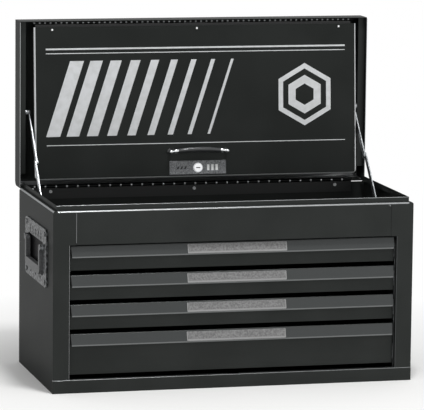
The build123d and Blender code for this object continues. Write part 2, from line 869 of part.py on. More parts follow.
def pivot_stud(sign, pivot, link_x):
    # Shouldered stud from a side wall through a link's eye, headed on the inside.
    for start_x, end_x, radius in (
        (inner_x, link_x + stay_thick + head_gap, stay_head_radius),
        (link_x + stay_thick + head_gap, link_x - head_gap, stay_pin_radius),
        (link_x - head_gap, link_x - head_gap - stay_head, stay_head_radius),
    ):
        stud_plane = Plane(
            origin=pivot + Vector(sign * start_x, 0, 0), x_dir=(0, 1, 0), z_dir=(-sign, 0, 0)
        )
        with BuildSketch(stud_plane) as section:
            Circle(radius)
        extrude(section.sketch, amount=start_x - end_x)


for side_name, sign in sides.items():
    save(stay_link(sign, upper_x, lid_pivot, stay_line * -1), f"stay_upper_{side_name}")
    save(stay_link(sign, lower_x, body_pivot, stay_line), f"stay_lower_{side_name}")
    # Elbow rivet: headed on the inside, flush with the upper link on the outside
    elbow = (lid_pivot + body_pivot) / 2 + Vector(sign * upper_x, 0, 0)
    with BuildPart() as stay_elbow:
        with BuildSketch(Plane(origin=elbow, x_dir=(0, 1, 0), z_dir=(sign, 0, 0))):
            Circle(stay_pin_radius)
        extrude(amount=stay_thick)
        with BuildSketch(Plane(origin=elbow, x_dir=(0, 1, 0), z_dir=(-sign, 0, 0))):
            Circle(stay_head_radius)
        extrude(amount=stay_head)
    save(stay_elbow, f"stay_elbow_rivet_{side_name}")

with BuildPart() as stay_lid_pivots:
    for sign in sides.values():
        pivot_stud(sign, lid_pivot, upper_x)
save(stay_lid_pivots, "stay_lid_pivots")

with BuildPart() as stay_body_pivots:
    for sign in sides.values():
        pivot_stud(sign, body_pivot, lower_x)
save(stay_body_pivots, "stay_body_pivots")

# Drop handles on both sides: pressed plate with a window, and a bail hung in ears at its top
window_y = -window_drop
pivot_height = window_y + window_height / 2 - bail_thick
pivot_depth = bail_gap + bail_thick / 2
bail_half = window_width / 2 - bail_side_gap
bail_foot = window_y - window_height / 2 + bail_side_gap
ear_depth = bail_gap + bail_thick + running_gap
for side_name, sign in sides.items():
    plane = handle_plane(sign)
    ear_x = bail_half + bail_side_gap + ear_length / 2
    pin_plane = Plane(
        origin=plane.from_local_coords((0, pivot_height, pivot_depth)),
        x_dir=(0, 0, 1),
        z_dir=(0, 1, 0),
    )
    with BuildPart() as handle_plate:
        with BuildSketch(plane):
            RectangleRounded(handle_width, handle_height, handle_corner)
            with Locations((0, window_y)):
                RectangleRounded(window_width, window_height, bail_leg / 2, mode=Mode.SUBTRACT)
            with Locations((0, handle_height / 2 - handle_slot_edge)):
                with GridLocations(
                    handle_slot_pitch, handle_slot_pitch, handle_slot_count, single_row
                ):
                    SlotOverall(
                        handle_slot_height, handle_slot_width, rotation=90, mode=Mode.SUBTRACT
                    )
            with Locations((0, handle_hole_edge - handle_height / 2)):
                with GridLocations(
                    handle_hole_pitch, handle_hole_pitch, handle_hole_count, single_row
                ):
                    Circle(handle_hole_radius, mode=Mode.SUBTRACT)
            with GridLocations(*handle_rivet_grid):
                Circle(rivet_radius, mode=Mode.SUBTRACT)
        extrude(amount=handle_plate_thick)
        with BuildSketch(plane):
            with Locations((-ear_x, pivot_height), (ear_x, pivot_height)):
                Rectangle(ear_length, bail_thick + bail_gap * 2)
        extrude(amount=ear_depth)
        with BuildSketch(pin_plane):
            Circle(handle_pin_radius + running_gap)
        extrude(amount=handle_width / 2, both=True, mode=Mode.SUBTRACT)
    save(handle_plate, f"handle_plate_{side_name}")

    with BuildPart() as handle_bail:
        bail_top = pivot_height + bail_thick / 2
        with BuildSketch(plane.offset(bail_gap)):
            with Locations((0, bail_foot)):
                Rectangle(bail_half * 2, bail_top - bail_foot, align=(Align.CENTER, Align.MIN))
            outer_corners = vertices().sort_by(Axis.Y)[:2]
            fillet(outer_corners, bail_corner)
            with Locations((0, bail_foot + bail_grip)):
                Rectangle(
                    (bail_half - bail_leg) * 2,
                    handle_height,
                    align=(Align.CENTER, Align.MIN),
                    mode=Mode.SUBTRACT,
                )
        extrude(amount=bail_thick)
        leg_tops = handle_bail.faces().sort_by(Axis.Z)[-2:]
        fillet(leg_tops.edges().filter_by(Axis.Y), bail_thick / 2 - running_gap)
        with BuildSketch(pin_plane):
            Circle(handle_pin_radius + running_gap)
        extrude(amount=handle_width / 2, both=True, mode=Mode.SUBTRACT)
    save(handle_bail, f"handle_bail_{side_name}")

with BuildPart() as handle_pins:
    for sign in sides.values():
        plane = handle_plane(sign)
        for end in sides.values():
            pin_end = plane.from_local_coords(
                (end * (bail_half + bail_side_gap + ear_length), pivot_height, pivot_depth)
            )
            with BuildSketch(Plane(origin=pin_end, x_dir=(0, 0, 1), z_dir=plane.x_dir * -end)):
                Circle(handle_pin_radius)
            extrude(amount=ear_length + bail_side_gap + bail_leg - bail_gap)
save(handle_pins, "handle_pins")

with BuildPart() as handle_rivets:
    for sign in sides.values():
        plane = handle_plane(sign)
        for depth, radius, length in (
            (handle_plate_thick, rivet_head_radius, rivet_head),
            (-sheet, rivet_radius, sheet + handle_plate_thick),
        ):
            with BuildSketch(plane.offset(depth)):
                with GridLocations(*handle_rivet_grid):
                    Circle(radius)
            extrude(amount=length)
save(handle_rivets, "handle_rivets")
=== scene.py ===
import json
import math

import bmesh
import bpy
from mathutils import Matrix, Vector


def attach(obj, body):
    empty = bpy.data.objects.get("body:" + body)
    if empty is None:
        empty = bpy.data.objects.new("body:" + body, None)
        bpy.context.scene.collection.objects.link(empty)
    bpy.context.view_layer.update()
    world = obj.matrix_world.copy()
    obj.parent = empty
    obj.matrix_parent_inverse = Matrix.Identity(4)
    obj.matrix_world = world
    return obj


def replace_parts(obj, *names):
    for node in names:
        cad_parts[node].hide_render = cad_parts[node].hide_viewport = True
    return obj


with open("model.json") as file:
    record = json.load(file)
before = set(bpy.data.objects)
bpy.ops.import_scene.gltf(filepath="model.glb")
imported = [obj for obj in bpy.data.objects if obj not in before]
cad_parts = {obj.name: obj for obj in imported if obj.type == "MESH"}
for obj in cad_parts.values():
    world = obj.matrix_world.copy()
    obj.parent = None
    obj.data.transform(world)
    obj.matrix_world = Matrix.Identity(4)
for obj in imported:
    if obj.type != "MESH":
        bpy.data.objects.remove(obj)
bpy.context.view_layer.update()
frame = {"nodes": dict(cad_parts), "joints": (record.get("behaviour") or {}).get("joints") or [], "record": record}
nodes = frame["nodes"]
jointOf = {joint["name"]: joint for joint in frame["joints"]}
mm = 0.001
far = 1.0  # m, past every point of the chest
mergeGap = 0.001  # mm, points closer than this are one
print("frame loaded:", len(nodes), "nodes")


def srgb(code):
    # hex colour to the linear values that Blender's sockets take
    out = []
    for at in (0, 2, 4):
        part = int(code[at : at + 2], 16) / 255
        out.append(part / 12.92 if part <= 0.04045 else ((part + 0.055) / 1.055) ** 2.4)
    return (*out, 1.0)


def fillInputs(tree, node, inputs):
    # plain values and links, by socket name or number
    for name, value in inputs.items():
        if isinstance(value, bpy.types.NodeSocket):
            tree.links.new(value, node.inputs[name])
        else:
            node.inputs[name].default_value = value


def addNode(tree, kind, inputs=None, stops=(), **settings):
    # one shader node with its settings, its inputs and, on a colour ramp, its stops
    node = tree.nodes.new(kind)
    for name, value in settings.items():
        setattr(node, name, value)
    fillInputs(tree, node, inputs or {})
    for index, (at, code) in enumerate(stops):
        node.color_ramp.elements[index].position = at
        node.color_ramp.elements[index].color = srgb(code)
    return node


def newMaterial(name):
    # empty material, its shader, and the object coordinates that patterns read
    material = bpy.data.materials.new(name)
    material.use_nodes = True
    tree = material.node_tree
    spot = addNode(tree, "ShaderNodeTexCoord").outputs["Object"]
    return material, tree, tree.nodes["Principled BSDF"], spot


def colorBand(tree, color, limits, code):
    # another colour where each value lies between its two limits
    share = 1.0
    for value, low, high in limits:
        span = {0: value, 1: (low + high) / 2, 2: (high - low) / 2}
        inside = addNode(tree, "ShaderNodeMath", span, operation="COMPARE")
        both = {0: inside.outputs[0], 1: share}
        share = addNode(tree, "ShaderNodeMath", both, operation="MULTIPLY").outputs[0]
    tones = {0: share, 6: color, 7: srgb(code)}
    return addNode(tree, "ShaderNodeMix", tones, data_type="RGBA").outputs[2]


coverTilt = math.radians(4)
coverFace = 15.0  # mm from the cover's hinge line to its face
coverHalf = 306.0
coverReach = 287.5
coverAxis = Vector(jointOf["cover_hinge"]["pos_m"])
# cover's own frame: x to the right, y up the cover, z out of its face
coverPlace = Matrix.Translation(coverAxis) @ Matrix.Rotation(math.pi / 2 - coverTilt, 4, "X")
coverUp = coverPlace.to_3x3() @ Vector((0, 1, 0))
coverOut = coverPlace.to_3x3() @ Vector((0, 0, 1))

powderCoat = {
    "dark": "303231",
    "light": "353736",
    "coverDark": "272928",
    "coverLight": "2b2d2c",
    "spread": (0.3, 0.7),
    "roughness": 0.3,
    "metallic": 0.45,  # share of the metal flake in the coat, which gives its gloss
    "specular": 0.0,
    "edgeTint": 0.55,  # grey of the gloss where the face is seen at a flat angle
    "grain": 0.9,  # mm between the bumps; the real ones are finer and wouldn't show
    "grainDetail": 1.0,
    "grainHeight": 0.2,
    "bump": 0.05,
    "patch": 90.0,  # mm, slow change in tone
    "patchDetail": 2.0,
    "pull": "484a4a",  # painted highlight: drawer pulls drawn lighter, as where their slope faces the light
    "pullFrom": -144.5,  # mm, where a pull stands out of its drawer front
    # painted highlight along the lip of each pull
    "lip": "707272",
    "lipFrom": -150.9,
    "rolledEdgeHighlight": "c4c6c7",  # painted highlight on the cover's folded edge
    "rolledWidth": 2.8,
    "rolledDepth": 4.2,  # mm back from the cover's face
    "upFoldHighlight": "999b9c",  # painted highlight on bends that turn upwards
    "baseFoldHighlight": "808283",  # painted highlight on the fold of the base, dimmer
    "foldUpRange": (0.35, 0.95),  # upward share of the normal
    "rightFoldHighlight": "b4b6b7",  # painted highlight on upright bends that turn to the right, the brighter side
    # dimmer painted highlight on upright bends that turn to the left
    "leftFoldHighlight": "606263",
    "foldSideFrom": 0.3,
    "leftRimHighlight": "a2a4a5",  # painted highlight on the rims of the lid's sides, brighter on the left
    # dimmer painted highlight on the right rim
    "rightRimHighlight": "77797a",
    "rimDepth": 1.2,  # mm back from the rim
    "rimWidth": 3.0,  # mm in from the lid's outer sides
    "recessShade": "0b0b0c",  # painted shade on the wall behind the handle plates, seen through their holes
    "recessAcross": 329.6,  # mm from the middle, the outer skin of the sides
    "recessAlong": (-100.0, 80.0),
    "recessUp": (186.0, 279.0),
    "seam": "7c7e7f",  # painted highlight on the edge of the header panel beside the left stile
    "seamAcross": (-289.5, -287.6),
    "seamUp": (268.0, 321.0),
}


def foldHighlights(tree, color, fold):
    # painted highlights along the bends of the sheet
    facing = addNode(tree, "ShaderNodeTexCoord").outputs["Normal"]
    split = addNode(tree, "ShaderNodeSeparateXYZ", {"Vector": facing})
    sides = {0: split.outputs["X"], 1: split.outputs["Y"]}
    cross = addNode(tree, "ShaderNodeMath", sides, operation="MULTIPLY").outputs[0]
    limit = powderCoat["foldSideFrom"]
    upward = (split.outputs["Z"], *powderCoat["foldUpRange"])
    color = colorBand(tree, color, [upward], powderCoat[fold])
    color = colorBand(tree, color, [(cross, limit, 1.0)], powderCoat["leftFoldHighlight"])
    return colorBand(tree, color, [(cross, -1.0, -limit)], powderCoat["rightFoldHighlight"])


def lidRimHighlights(tree, spot, color):
    # painted highlight along the rims of the lid's sides
    corners = [Vector(corner) for corner in nodes["lid_shell"].bound_box]
    rim = min(corner.y for corner in corners) + powderCoat["rimDepth"] * mm
    inner = max(corner.x for corner in corners) - powderCoat["rimWidth"] * mm
    split = addNode(tree, "ShaderNodeSeparateXYZ", {"Vector": spot})
    front = (split.outputs["Y"], -far, rim)
    for tone, low, high in (("leftRimHighlight", -far, -inner), ("rightRimHighlight", inner, far)):
        across = (split.outputs["X"], low, high)
        color = colorBand(tree, color, [front, across], powderCoat[tone])
    return color


def handleShadePatch(tree, spot, color):
    # painted shade: dark wall behind the window and slots of each handle plate
    split = addNode(tree, "ShaderNodeSeparateXYZ", {"Vector": spot})
    across = addNode(tree, "ShaderNodeMath", {0: split.outputs["X"]}, operation="ABSOLUTE")
    limits = [
        (across.outputs[0], powderCoat["recessAcross"] * mm, far),
        (split.outputs["Y"], *(limit * mm for limit in powderCoat["recessAlong"])),
        (split.outputs["Z"], *(limit * mm for limit in powderCoat["recessUp"])),
    ]
    return colorBand(tree, color, limits, powderCoat["recessShade"])


def headerEdgeHighlight(tree, spot, color):
    # painted highlight: thin light line where the header panel meets the left stile
    split = addNode(tree, "ShaderNodeSeparateXYZ", {"Vector": spot})
    limits = [
        (split.outputs["X"], *(limit * mm for limit in powderCoat["seamAcross"])),
        (split.outputs["Z"], *(limit * mm for limit in powderCoat["seamUp"])),
    ]
    return colorBand(tree, color, limits, powderCoat["seam"])


def pullHighlightBands(tree, spot, color):
    # painted highlights: lighter sloping pull and bright lip on the drawer fronts
    split = addNode(tree, "ShaderNodeSeparateXYZ", {"Vector": spot})
    for tone, start in (("pull", "pullFrom"), ("lip", "lipFrom")):
        proud = (split.outputs["Y"], -far, powderCoat[start] * mm)
        color = colorBand(tree, color, [proud], powderCoat[tone])
    return color


def rolledEdgeHighlight(tree, spot, color):
    # painted highlight: lighter line round the cover where its sides and foot fold back
    split = addNode(tree, "ShaderNodeSeparateXYZ", {"Vector": spot})
    across = addNode(tree, "ShaderNodeMath", {0: split.outputs["X"]}, operation="ABSOLUTE")
    away = addNode(tree, "ShaderNodeVectorMath", {0: spot, 1: coverAxis}, operation="SUBTRACT")
    lengths = []
    for line in (-coverUp, coverOut):
        along = {0: away.outputs[0], 1: line}
        lengths.append(addNode(tree, "ShaderNodeVectorMath", along, operation="DOT_PRODUCT"))
    down, depth = (length.outputs["Value"] for length in lengths)
    width = powderCoat["rolledWidth"]
    front = (depth, (coverFace - powderCoat["rolledDepth"]) * mm, far)
    sides = (across.outputs[0], (coverHalf - width) * mm, far)
    foot = (down, (coverReach - width) * mm, far)
    color = colorBand(tree, color, [front, sides], powderCoat["rolledEdgeHighlight"])
    return colorBand(tree, color, [front, foot], powderCoat["rolledEdgeHighlight"])


def makePowderCoat(name, band=None, tones=("dark", "light"), fold="upFoldHighlight"):
    # black powder coat, baked on folded sheet steel: near-black with a soft grey gloss,
    # a faint grain, and painted highlights along bends and edges
    material, tree, shader, spot = newMaterial(name)
    noise = {}
    for pattern in ("patch", "grain"):
        size = {
            "Vector": spot,
            "Scale": 1 / (powderCoat[pattern] * mm),
            "Detail": powderCoat[f"{pattern}Detail"],
        }
        noise[pattern] = addNode(tree, "ShaderNodeTexNoise", size).outputs["Fac"]
    stops = zip(powderCoat["spread"], (powderCoat[tone] for tone in tones))
    ramp = addNode(tree, "ShaderNodeValToRGB", {"Fac": noise["patch"]}, stops)
    bumps = {
        "Height": noise["grain"],
        "Strength": powderCoat["bump"],
        "Distance": powderCoat["grainHeight"] * mm,
    }
    bump = addNode(tree, "ShaderNodeBump", bumps)
    color = foldHighlights(tree, ramp.outputs["Color"], fold)
    if band:
        color = band(tree, spot, color)
    looks = {
        "Base Color": color,
        "Normal": bump.outputs["Normal"],
        "Roughness": powderCoat["roughness"],
        "Metallic": powderCoat["metallic"],
        "Specular IOR Level": powderCoat["specular"],
        "Specular Tint": (*[powderCoat["edgeTint"]] * 3, 1.0),
    }
    fillInputs(tree, shader, looks)
    return material


pianoHinge = {
    "coat": "1f2020",
    "knuckle": "1d1e1e",
    "roughness": 0.38,
    "barrel": 3.0,  # mm from the pin, the rolled barrel
    # the seam tones are painted glints on the knuckle edges
    "lid": {"seam": "c9cbcc", "pitch": 20.27, "share": 0.13},  # mm between seams, share of the seam
    "cover": {"seam": "8b8d8e", "pitch": 10.13, "share": 0.3},
}


def makeHingeStrip(name, axis, seam):
    # rolled steel strip under a thin black coat: dull, with painted glints
    # in bright steel grey at the seams between its knuckles
    material, tree, shader, spot = newMaterial(name)
    split = addNode(tree, "ShaderNodeSeparateXYZ", {"Vector": spot})
    steps = {0: split.outputs["X"], 1: seam["pitch"] * mm}
    step = addNode(tree, "ShaderNodeMath", steps, operation="DIVIDE")
    part = addNode(tree, "ShaderNodeMath", {0: step.outputs[0]}, operation="FRACT")
    stops = [(0.0, seam["seam"]), (seam["share"], pianoHinge["knuckle"])]
    seams = addNode(tree, "ShaderNodeValToRGB", {"Fac": part.outputs[0]}, stops)
    seams.color_ramp.interpolation = "CONSTANT"
    line = {"X": split.outputs["X"], "Y": axis[1], "Z": axis[2]}
    pin = addNode(tree, "ShaderNodeCombineXYZ", line)
    reach = {0: spot, 1: pin.outputs[0]}
    away = addNode(tree, "ShaderNodeVectorMath", reach, operation="DISTANCE")
    barrel = {0: away.outputs["Value"], 1: pianoHinge["barrel"] * mm}
    near = addNode(tree, "ShaderNodeMath", barrel, operation="LESS_THAN")
    tones = {0: near.outputs[0], 6: srgb(pianoHinge["coat"]), 7: seams.outputs["Color"]}
    mix = addNode(tree, "ShaderNodeMix", tones, data_type="RGBA")
    looks = {
        "Base Color": mix.outputs[2],
        "Metallic": near.outputs[0],
        "Roughness": pianoHinge["roughness"],
    }
    fillInputs(tree, shader, looks)
    return material


hammeredGrey = {
    "dark": "131415",
    "light": "7e8183",
    "spread": (0.1, 0.7),
    "cell": 5.0,  # mm between the dimples
    "bump": 0.4,
    "depth": 0.3,
    "roughness": 0.4,
    "specular": 0.15,
}


def makeHammeredGrey():
    # grey hammered enamel on the pressed handle plates: small light dimples with dark rims
    material, tree, shader, spot = newMaterial("hammeredGreyEnamel")
    cells = {"Vector": spot, "Scale": 1 / (hammeredGrey["cell"] * mm)}
    distance = addNode(tree, "ShaderNodeTexVoronoi", cells).outputs["Distance"]
    stops = zip(hammeredGrey["spread"], (hammeredGrey["light"], hammeredGrey["dark"]))
    ramp = addNode(tree, "ShaderNodeValToRGB", {"Fac": distance}, stops)
    bumps = {
        "Height": distance,
        "Strength": hammeredGrey["bump"],
        "Distance": hammeredGrey["depth"] * mm,
    }
    bump = addNode(tree, "ShaderNodeBump", bumps)
    looks = {
        "Base Color": ramp.outputs["Color"],
        "Normal": bump.outputs["Normal"],
        "Roughness": hammeredGrey["roughness"],
        "Specular IOR Level": hammeredGrey["specular"],
    }
    fillInputs(tree, shader, looks)
    return material


labelStrip = {
    # painted highlight on the strip's edges
    "rim": "8c8c8c",
    "rimWidth": 1.5,  # mm in from the ends
    "rimDepth": 0.9,  # mm back from the foremost edge
}


def labelEdgeHighlight(tree, spot, color):
    # painted highlight at the ends and foot of the strip
    corners = [Vector(corner) for corner in nodes["drawer_1_label"].bound_box]
    end = max(corner.x for corner in corners) - labelStrip["rimWidth"] * mm
    start = min(corner.x for corner in corners) + labelStrip["rimWidth"] * mm
    foot = min(corner.y for corner in corners) + labelStrip["rimDepth"] * mm
    split = addNode(tree, "ShaderNodeSeparateXYZ", {"Vector": spot})
    for part, low, high in (("X", -far, start), ("X", end, far), ("Y", -far, foot)):
        color = colorBand(tree, color, [(split.outputs[part], low, high)], labelStrip["rim"])
    return color


plugFace = {
    "up": -270.0,  # mm from the cover's hinge line
    "out": 18.6,  # mm, outer face of the plug
    "slotReach": 5.2,  # mm from the middle of the face to the ends of the key slot
    "slotFrom": -0.2,  # mm below the face
    # painted shade in the slot
    "slot": "0c0c0d",
}


def keySlotShade(tree, spot, color):
    # painted shade in the key slot below the bright face of the plug
    centre = coverPlace @ (Vector((0, plugFace["up"], plugFace["out"])) * mm)
    ends = {0: spot, 1: centre}
    away = addNode(tree, "ShaderNodeVectorMath", ends, operation="SUBTRACT").outputs[0]
    reach = addNode(tree, "ShaderNodeVectorMath", {0: away}, operation="LENGTH")
    depth = addNode(tree, "ShaderNodeVectorMath", {0: away, 1: coverOut}, operation="DOT_PRODUCT")
    limits = [
        (reach.outputs["Value"], 0.0, plugFace["slotReach"] * mm),
        (depth.outputs["Value"], -far, plugFace["slotFrom"] * mm),
    ]
    return colorBand(tree, color, limits, plugFace["slot"])


coverRivet = {
    "headRadius": 3.0,
    "core": 1.7,  # mm, painted glint in the middle of each head
    "rim": "2b2d2c",
}


def paintedRivetGlint(tree, spot, color):
    # coat tone on the rims of the cover's rivet heads, round a painted glint in their middles
    corners = [Vector(corner) for corner in nodes["cover_hinge_rivets"].bound_box]
    middle = sum(corners, Vector()) / len(corners)
    spacing = max(corner.x for corner in corners) - coverRivet["headRadius"] * mm
    split = addNode(tree, "ShaderNodeSeparateXYZ", {"Vector": spot})
    across = addNode(tree, "ShaderNodeMath", {0: split.outputs["X"]}, operation="ABSOLUTE").outputs[0]
    beside = addNode(tree, "ShaderNodeMath", {0: across, 1: spacing}, operation="SUBTRACT")
    beyond = addNode(tree, "ShaderNodeMath", {0: beside.outputs[0]}, operation="ABSOLUTE")
    either = {0: across, 1: beyond.outputs[0]}
    nearest = addNode(tree, "ShaderNodeMath", either, operation="MINIMUM")
    away = addNode(tree, "ShaderNodeVectorMath", {0: spot, 1: middle}, operation="SUBTRACT")
    upward = {0: away.outputs[0], 1: coverUp}
    rise = addNode(tree, "ShaderNodeVectorMath", upward, operation="DOT_PRODUCT")
    flat = {"X": nearest.outputs[0], "Y": rise.outputs["Value"]}
    inFace = addNode(tree, "ShaderNodeCombineXYZ", flat)
    reach = addNode(tree, "ShaderNodeVectorMath", {0: inFace.outputs[0]}, operation="LENGTH")
    rim = (reach.outputs["Value"], coverRivet["core"] * mm, far)
    return colorBand(tree, color, [rim], coverRivet["rim"])


plainShares = (0.35, 0.65)  # of the noise, where the two tones are reached
plainDetail = 2.0
plainSpecular = 0.5
# two tones, mm between the grains, then the shader's values
plainFinish = {
    # electroplated zinc on stays, slides and pins: cool grey metal with blurred streaks
    "zincPlate": {
        "tones": ("7c7f81", "b0b3b5"), "grain": 4.0, "detail": 3.0, "roughness": 0.36, "metallic": 1.0,
    },
    # embossed vinyl of the label strips: satin silver-grey, speckled by a grain
    # that is drawn coarser than the real one, which wouldn't show
    "silverLabelStrip": {
        "tones": ("626262", "808080"), "grain": 3.2, "roughness": 0.45, "metallic": 0.15,
    },
    # die-cast lock plate under grey enamel: dull and slightly mottled
    "greyLockCasting": {
        "tones": ("505254", "8a8c8e"), "grain": 2.0, "roughness": 0.42, "metallic": 0.25,
    },
    # pressed zinc rivet heads: small bright dots
    "brightRivetZinc": {
        "tones": ("c0c2c3", "cfd1d2"), "grain": 3.0, "roughness": 0.35, "metallic": 0.3,
    },
    # rivet heads through the cover: near-white tone for a painted glint, kept to a small dot in each head
    "glintRivetZinc": {
        "tones": ("f0f1f1", "f8f9f9"), "grain": 3.0, "roughness": 0.35, "metallic": 0.3,
    },
    # dipped grey enamel on the bent steel bails: even and dull beside the hammered plates
    "greyBailEnamel": {
        "tones": ("464748", "565758"), "grain": 3.0, "roughness": 0.45, "metallic": 0.0, "specular": 0.15,
    },
    # polished chrome plate on the pull's ends: sharp bright reflections
    "polishedChrome": {
        "tones": ("c4c6c8", "d6d8d9"), "grain": 30.0, "roughness": 0.14, "metallic": 1.0,
    },
    # fresher chrome plate on the turned lock plug: near-white round its dark key slot
    "slottedPlugChrome": {
        "tones": ("f0f1f2", "fafbfb"), "grain": 30.0, "roughness": 0.14, "metallic": 1.0,
    },
    # moulded black plastic of the grip: dark grey with a clear highlight
    "blackGripPlastic": {
        "tones": ("303132", "383a3b"), "grain": 2.0, "roughness": 0.22, "metallic": 0.0,
    },
    # silver screen print on the coat: pale, nearly matt
    "silverPrint": {
        "tones": ("c2c4c5", "ccced0"), "grain": 12.0, "roughness": 0.5, "metallic": 0.1,
    },
    # white enamel in the marks of the lock plate: bright and satin
    "whiteMarkEnamel": {
        "tones": ("eeefef", "f4f5f5"), "grain": 12.0, "roughness": 0.4, "metallic": 0.0,
    },
    # dark screen print on the lock plate: black, nearly matt
    "darkPrint": {
        "tones": ("161617", "1c1c1d"), "grain": 12.0, "roughness": 0.5, "metallic": 0.0,
    },
}


def makePlain(name, band=None):
    # one finish with a faint change of tone
    finish = plainFinish[name]
    material, tree, shader, spot = newMaterial(name)
    grains = {
        "Vector": spot,
        "Scale": 1 / (finish["grain"] * mm),
        "Detail": finish.get("detail", plainDetail),
    }
    noise = addNode(tree, "ShaderNodeTexNoise", grains)
    stops = zip(plainShares, finish["tones"])
    ramp = addNode(tree, "ShaderNodeValToRGB", {"Fac": noise.outputs["Fac"]}, stops)
    color = ramp.outputs["Color"]
    if band:
        color = band(tree, spot, color)
    looks = {
        "Base Color": color,
        "Roughness": finish["roughness"],
        "Metallic": finish["metallic"],
        "Specular IOR Level": finish.get("specular", plainSpecular),
    }
    fillInputs(tree, shader, looks)
    return material


coat = makePowderCoat("blackPowderCoat")
baseCoat = makePowderCoat("blackBaseCoat", fold="baseFoldHighlight")
drawerCoat = makePowderCoat("blackDrawerCoat", pullHighlightBands)
headerCoat = makePowderCoat("blackHeaderCoat", headerEdgeHighlight)
lidCoat = makePowderCoat("blackLidCoat", lidRimHighlights)
sideCoat = makePowderCoat("blackSideCoat", handleShadePatch)
coverCoat = makePowderCoat("blackCoverCoat", rolledEdgeHighlight, ("coverDark", "coverLight"))
hingeStrip = {
    part: makeHingeStrip(f"{part}HingeStrip", jointOf[f"{part}_hinge"]["pos_m"], pianoHinge[part])
    for part in ("lid", "cover")
}
handleEnamel = makeHammeredGrey()
zinc = makePlain("zincPlate")
labelFace = makePlain("silverLabelStrip", labelEdgeHighlight)
lockCast = makePlain("greyLockCasting")
rivetZinc = makePlain("brightRivetZinc")
coverRivetGlint = makePlain("glintRivetZinc", paintedRivetGlint)
bailEnamel = makePlain("greyBailEnamel")
chrome = makePlain("polishedChrome")
plugChrome = makePlain("slottedPlugChrome", keySlotShade)
gripPlastic = makePlain("blackGripPlastic")
stripeInk = makePlain("silverPrint")
markEnamel = makePlain("whiteMarkEnamel")
darkInk = makePlain("darkPrint")
print("finishes made:", len(bpy.data.materials))

slotFinish = {
    "powder_coat": coat,
    "zinc_steel": zinc,
    "handle_grey": handleEnamel,
    "label_silver": labelFace,
    "lock_grey": lockCast,
    "chrome": chrome,
    "black_grip": gripPlastic,
}
# finishes of single nodes, by the start and end of their names
nodeFinish = [
    ("", "hinge_rivets", rivetZinc),
    ("cover", "hinge_rivets", coverRivetGlint),
    ("handle_bail", "", bailEnamel),
    ("lock_plug", "", plugChrome),
    ("cover_panel", "", coverCoat),
    ("base_pan", "", baseCoat),
    ("header_panel", "", headerCoat),
    ("lid_shell", "", lidCoat),
    ("side_panel", "", sideCoat),
    ("drawer", "front", drawerCoat),
]
for subpart in frame["record"]["subparts"]:
    name = subpart["node"]
    finish = slotFinish.get(subpart["material_slot"])
    if finish is None:
        finish = hingeStrip["cover" if name.startswith("cover") else "lid"]
    for start, end, special in nodeFinish:
        if name.startswith(start) and name.endswith(end):
            finish = special
    nodes[name].data.materials.clear()
    nodes[name].data.materials.append(finish)
print("finishes given to the CAD nodes")

sharpFrom = math.radians(40)


def finishPiece(name, bm, body, material, smooth=False):
    # bmesh to an object at the origin that rides on a body
    bmesh.ops.recalc_face_normals(bm, faces=bm.faces)
    for face in bm.faces:
        face.smooth = smooth
    for edge in bm.edges:
        edge.smooth = edge.calc_face_angle(0.0) < sharpFrom
    mesh = bpy.data.meshes.new(name)
    bm.to_mesh(mesh)
    bm.free()
    piece = bpy.data.objects.new(name, mesh)
    bpy.context.scene.collection.objects.link(piece)
    mesh.materials.append(material)
    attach(piece, body)
    return piece


pullEnd = {
    "from": -139.0,  # mm, where the slanted cut starts
    "lip": -151.0,
    "inset": 3.4,  # mm that the lip is shorter at each end
    "drawers": 4,
}


def makeDrawerFront(row):
    # folded drawer front whose pull has slanted ends
    node = f"drawer_{row}_front"
    bm = bmesh.new()
    bm.from_mesh(nodes[node].data)
    bmesh.ops.remove_doubles(bm, verts=bm.verts, dist=mergeGap * mm)
    half = max(vert.co.x for vert in bm.verts)
    for side in (-1, 1):
        cut = bmesh.ops.bisect_plane(
            bm,
            geom=bm.verts[:] + bm.edges[:] + bm.faces[:],
            plane_co=(side * half, pullEnd["from"] * mm, 0),
            plane_no=(side * (pullEnd["from"] - pullEnd["lip"]), -pullEnd["inset"], 0),
            clear_outer=True,
        )
        rim = [item for item in cut["geom_cut"] if isinstance(item, bmesh.types.BMEdge)]
        bmesh.ops.holes_fill(bm, edges=rim)
    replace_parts(finishPiece(f"drawerFront{row}", bm, f"drawer_{row}", drawerCoat), node)


for row in range(pullEnd["drawers"]):
    makeDrawerFront(row + 1)
print("drawer fronts made")

printDesign = {
    "thick": 0.25,  # mm, more than real ink, so that it stands clear of the face
    "sunk": 0.05,
    "lines": [(-48.0, 3.0), (-56.0, 1.4), (-224.0, 1.4)],  # mm up from the hinge line, width
    "lineHalf": 284.0,
    "bars": 9,
    "barFirst": -262.0,
    "barPitch": 38.0,
    "barWidth": (26.0, 5.0),
    "barTop": -70.0,
    "barFoot": -208.0,
    "barSlant": 46.0,
    "nut": (206.0, -138.0),  # middle of the hexagon
    "nutSides": 6,
    "nutRings": [(58.0, 48.0), (36.0, 20.0)],
}
lockPrint = {
    "plateThick": 2.0,
    "marks": [19.5, 27.5, 35.5],  # upright marks right of the plug
    "markSize": (4.6, 11.0),
    "dashes": [-38.0, -31.0, -24.0],  # slanted dashes left of the plug
    "dashSize": (3.4, 5.0),
    "dashSlant": 3.0,
}


def toCover(bm):
    # from mm in the cover's own frame to the scene
    bmesh.ops.scale(bm, vec=(mm, mm, mm), verts=bm.verts)
    bmesh.ops.transform(bm, matrix=coverPlace, verts=bm.verts)


def printedBar(bm, left, right, top, foot, slant, rise=0.0):
    # one slanted bar of print lying on the cover's face, or as far above it as the rise says
    low = coverFace + rise - printDesign["sunk"]
    made = bmesh.ops.create_cube(bm, size=1.0)["verts"]
    bmesh.ops.scale(bm, vec=(right - left, top - foot, printDesign["thick"]), verts=made)
    shear = Matrix.Identity(4)
    shear[0][1] = slant / (top - foot)
    bmesh.ops.transform(bm, matrix=shear, verts=made)
    middle = Vector(((left + right) / 2, (top + foot) / 2, low + printDesign["thick"] / 2))
    bmesh.ops.translate(bm, vec=middle, verts=made)


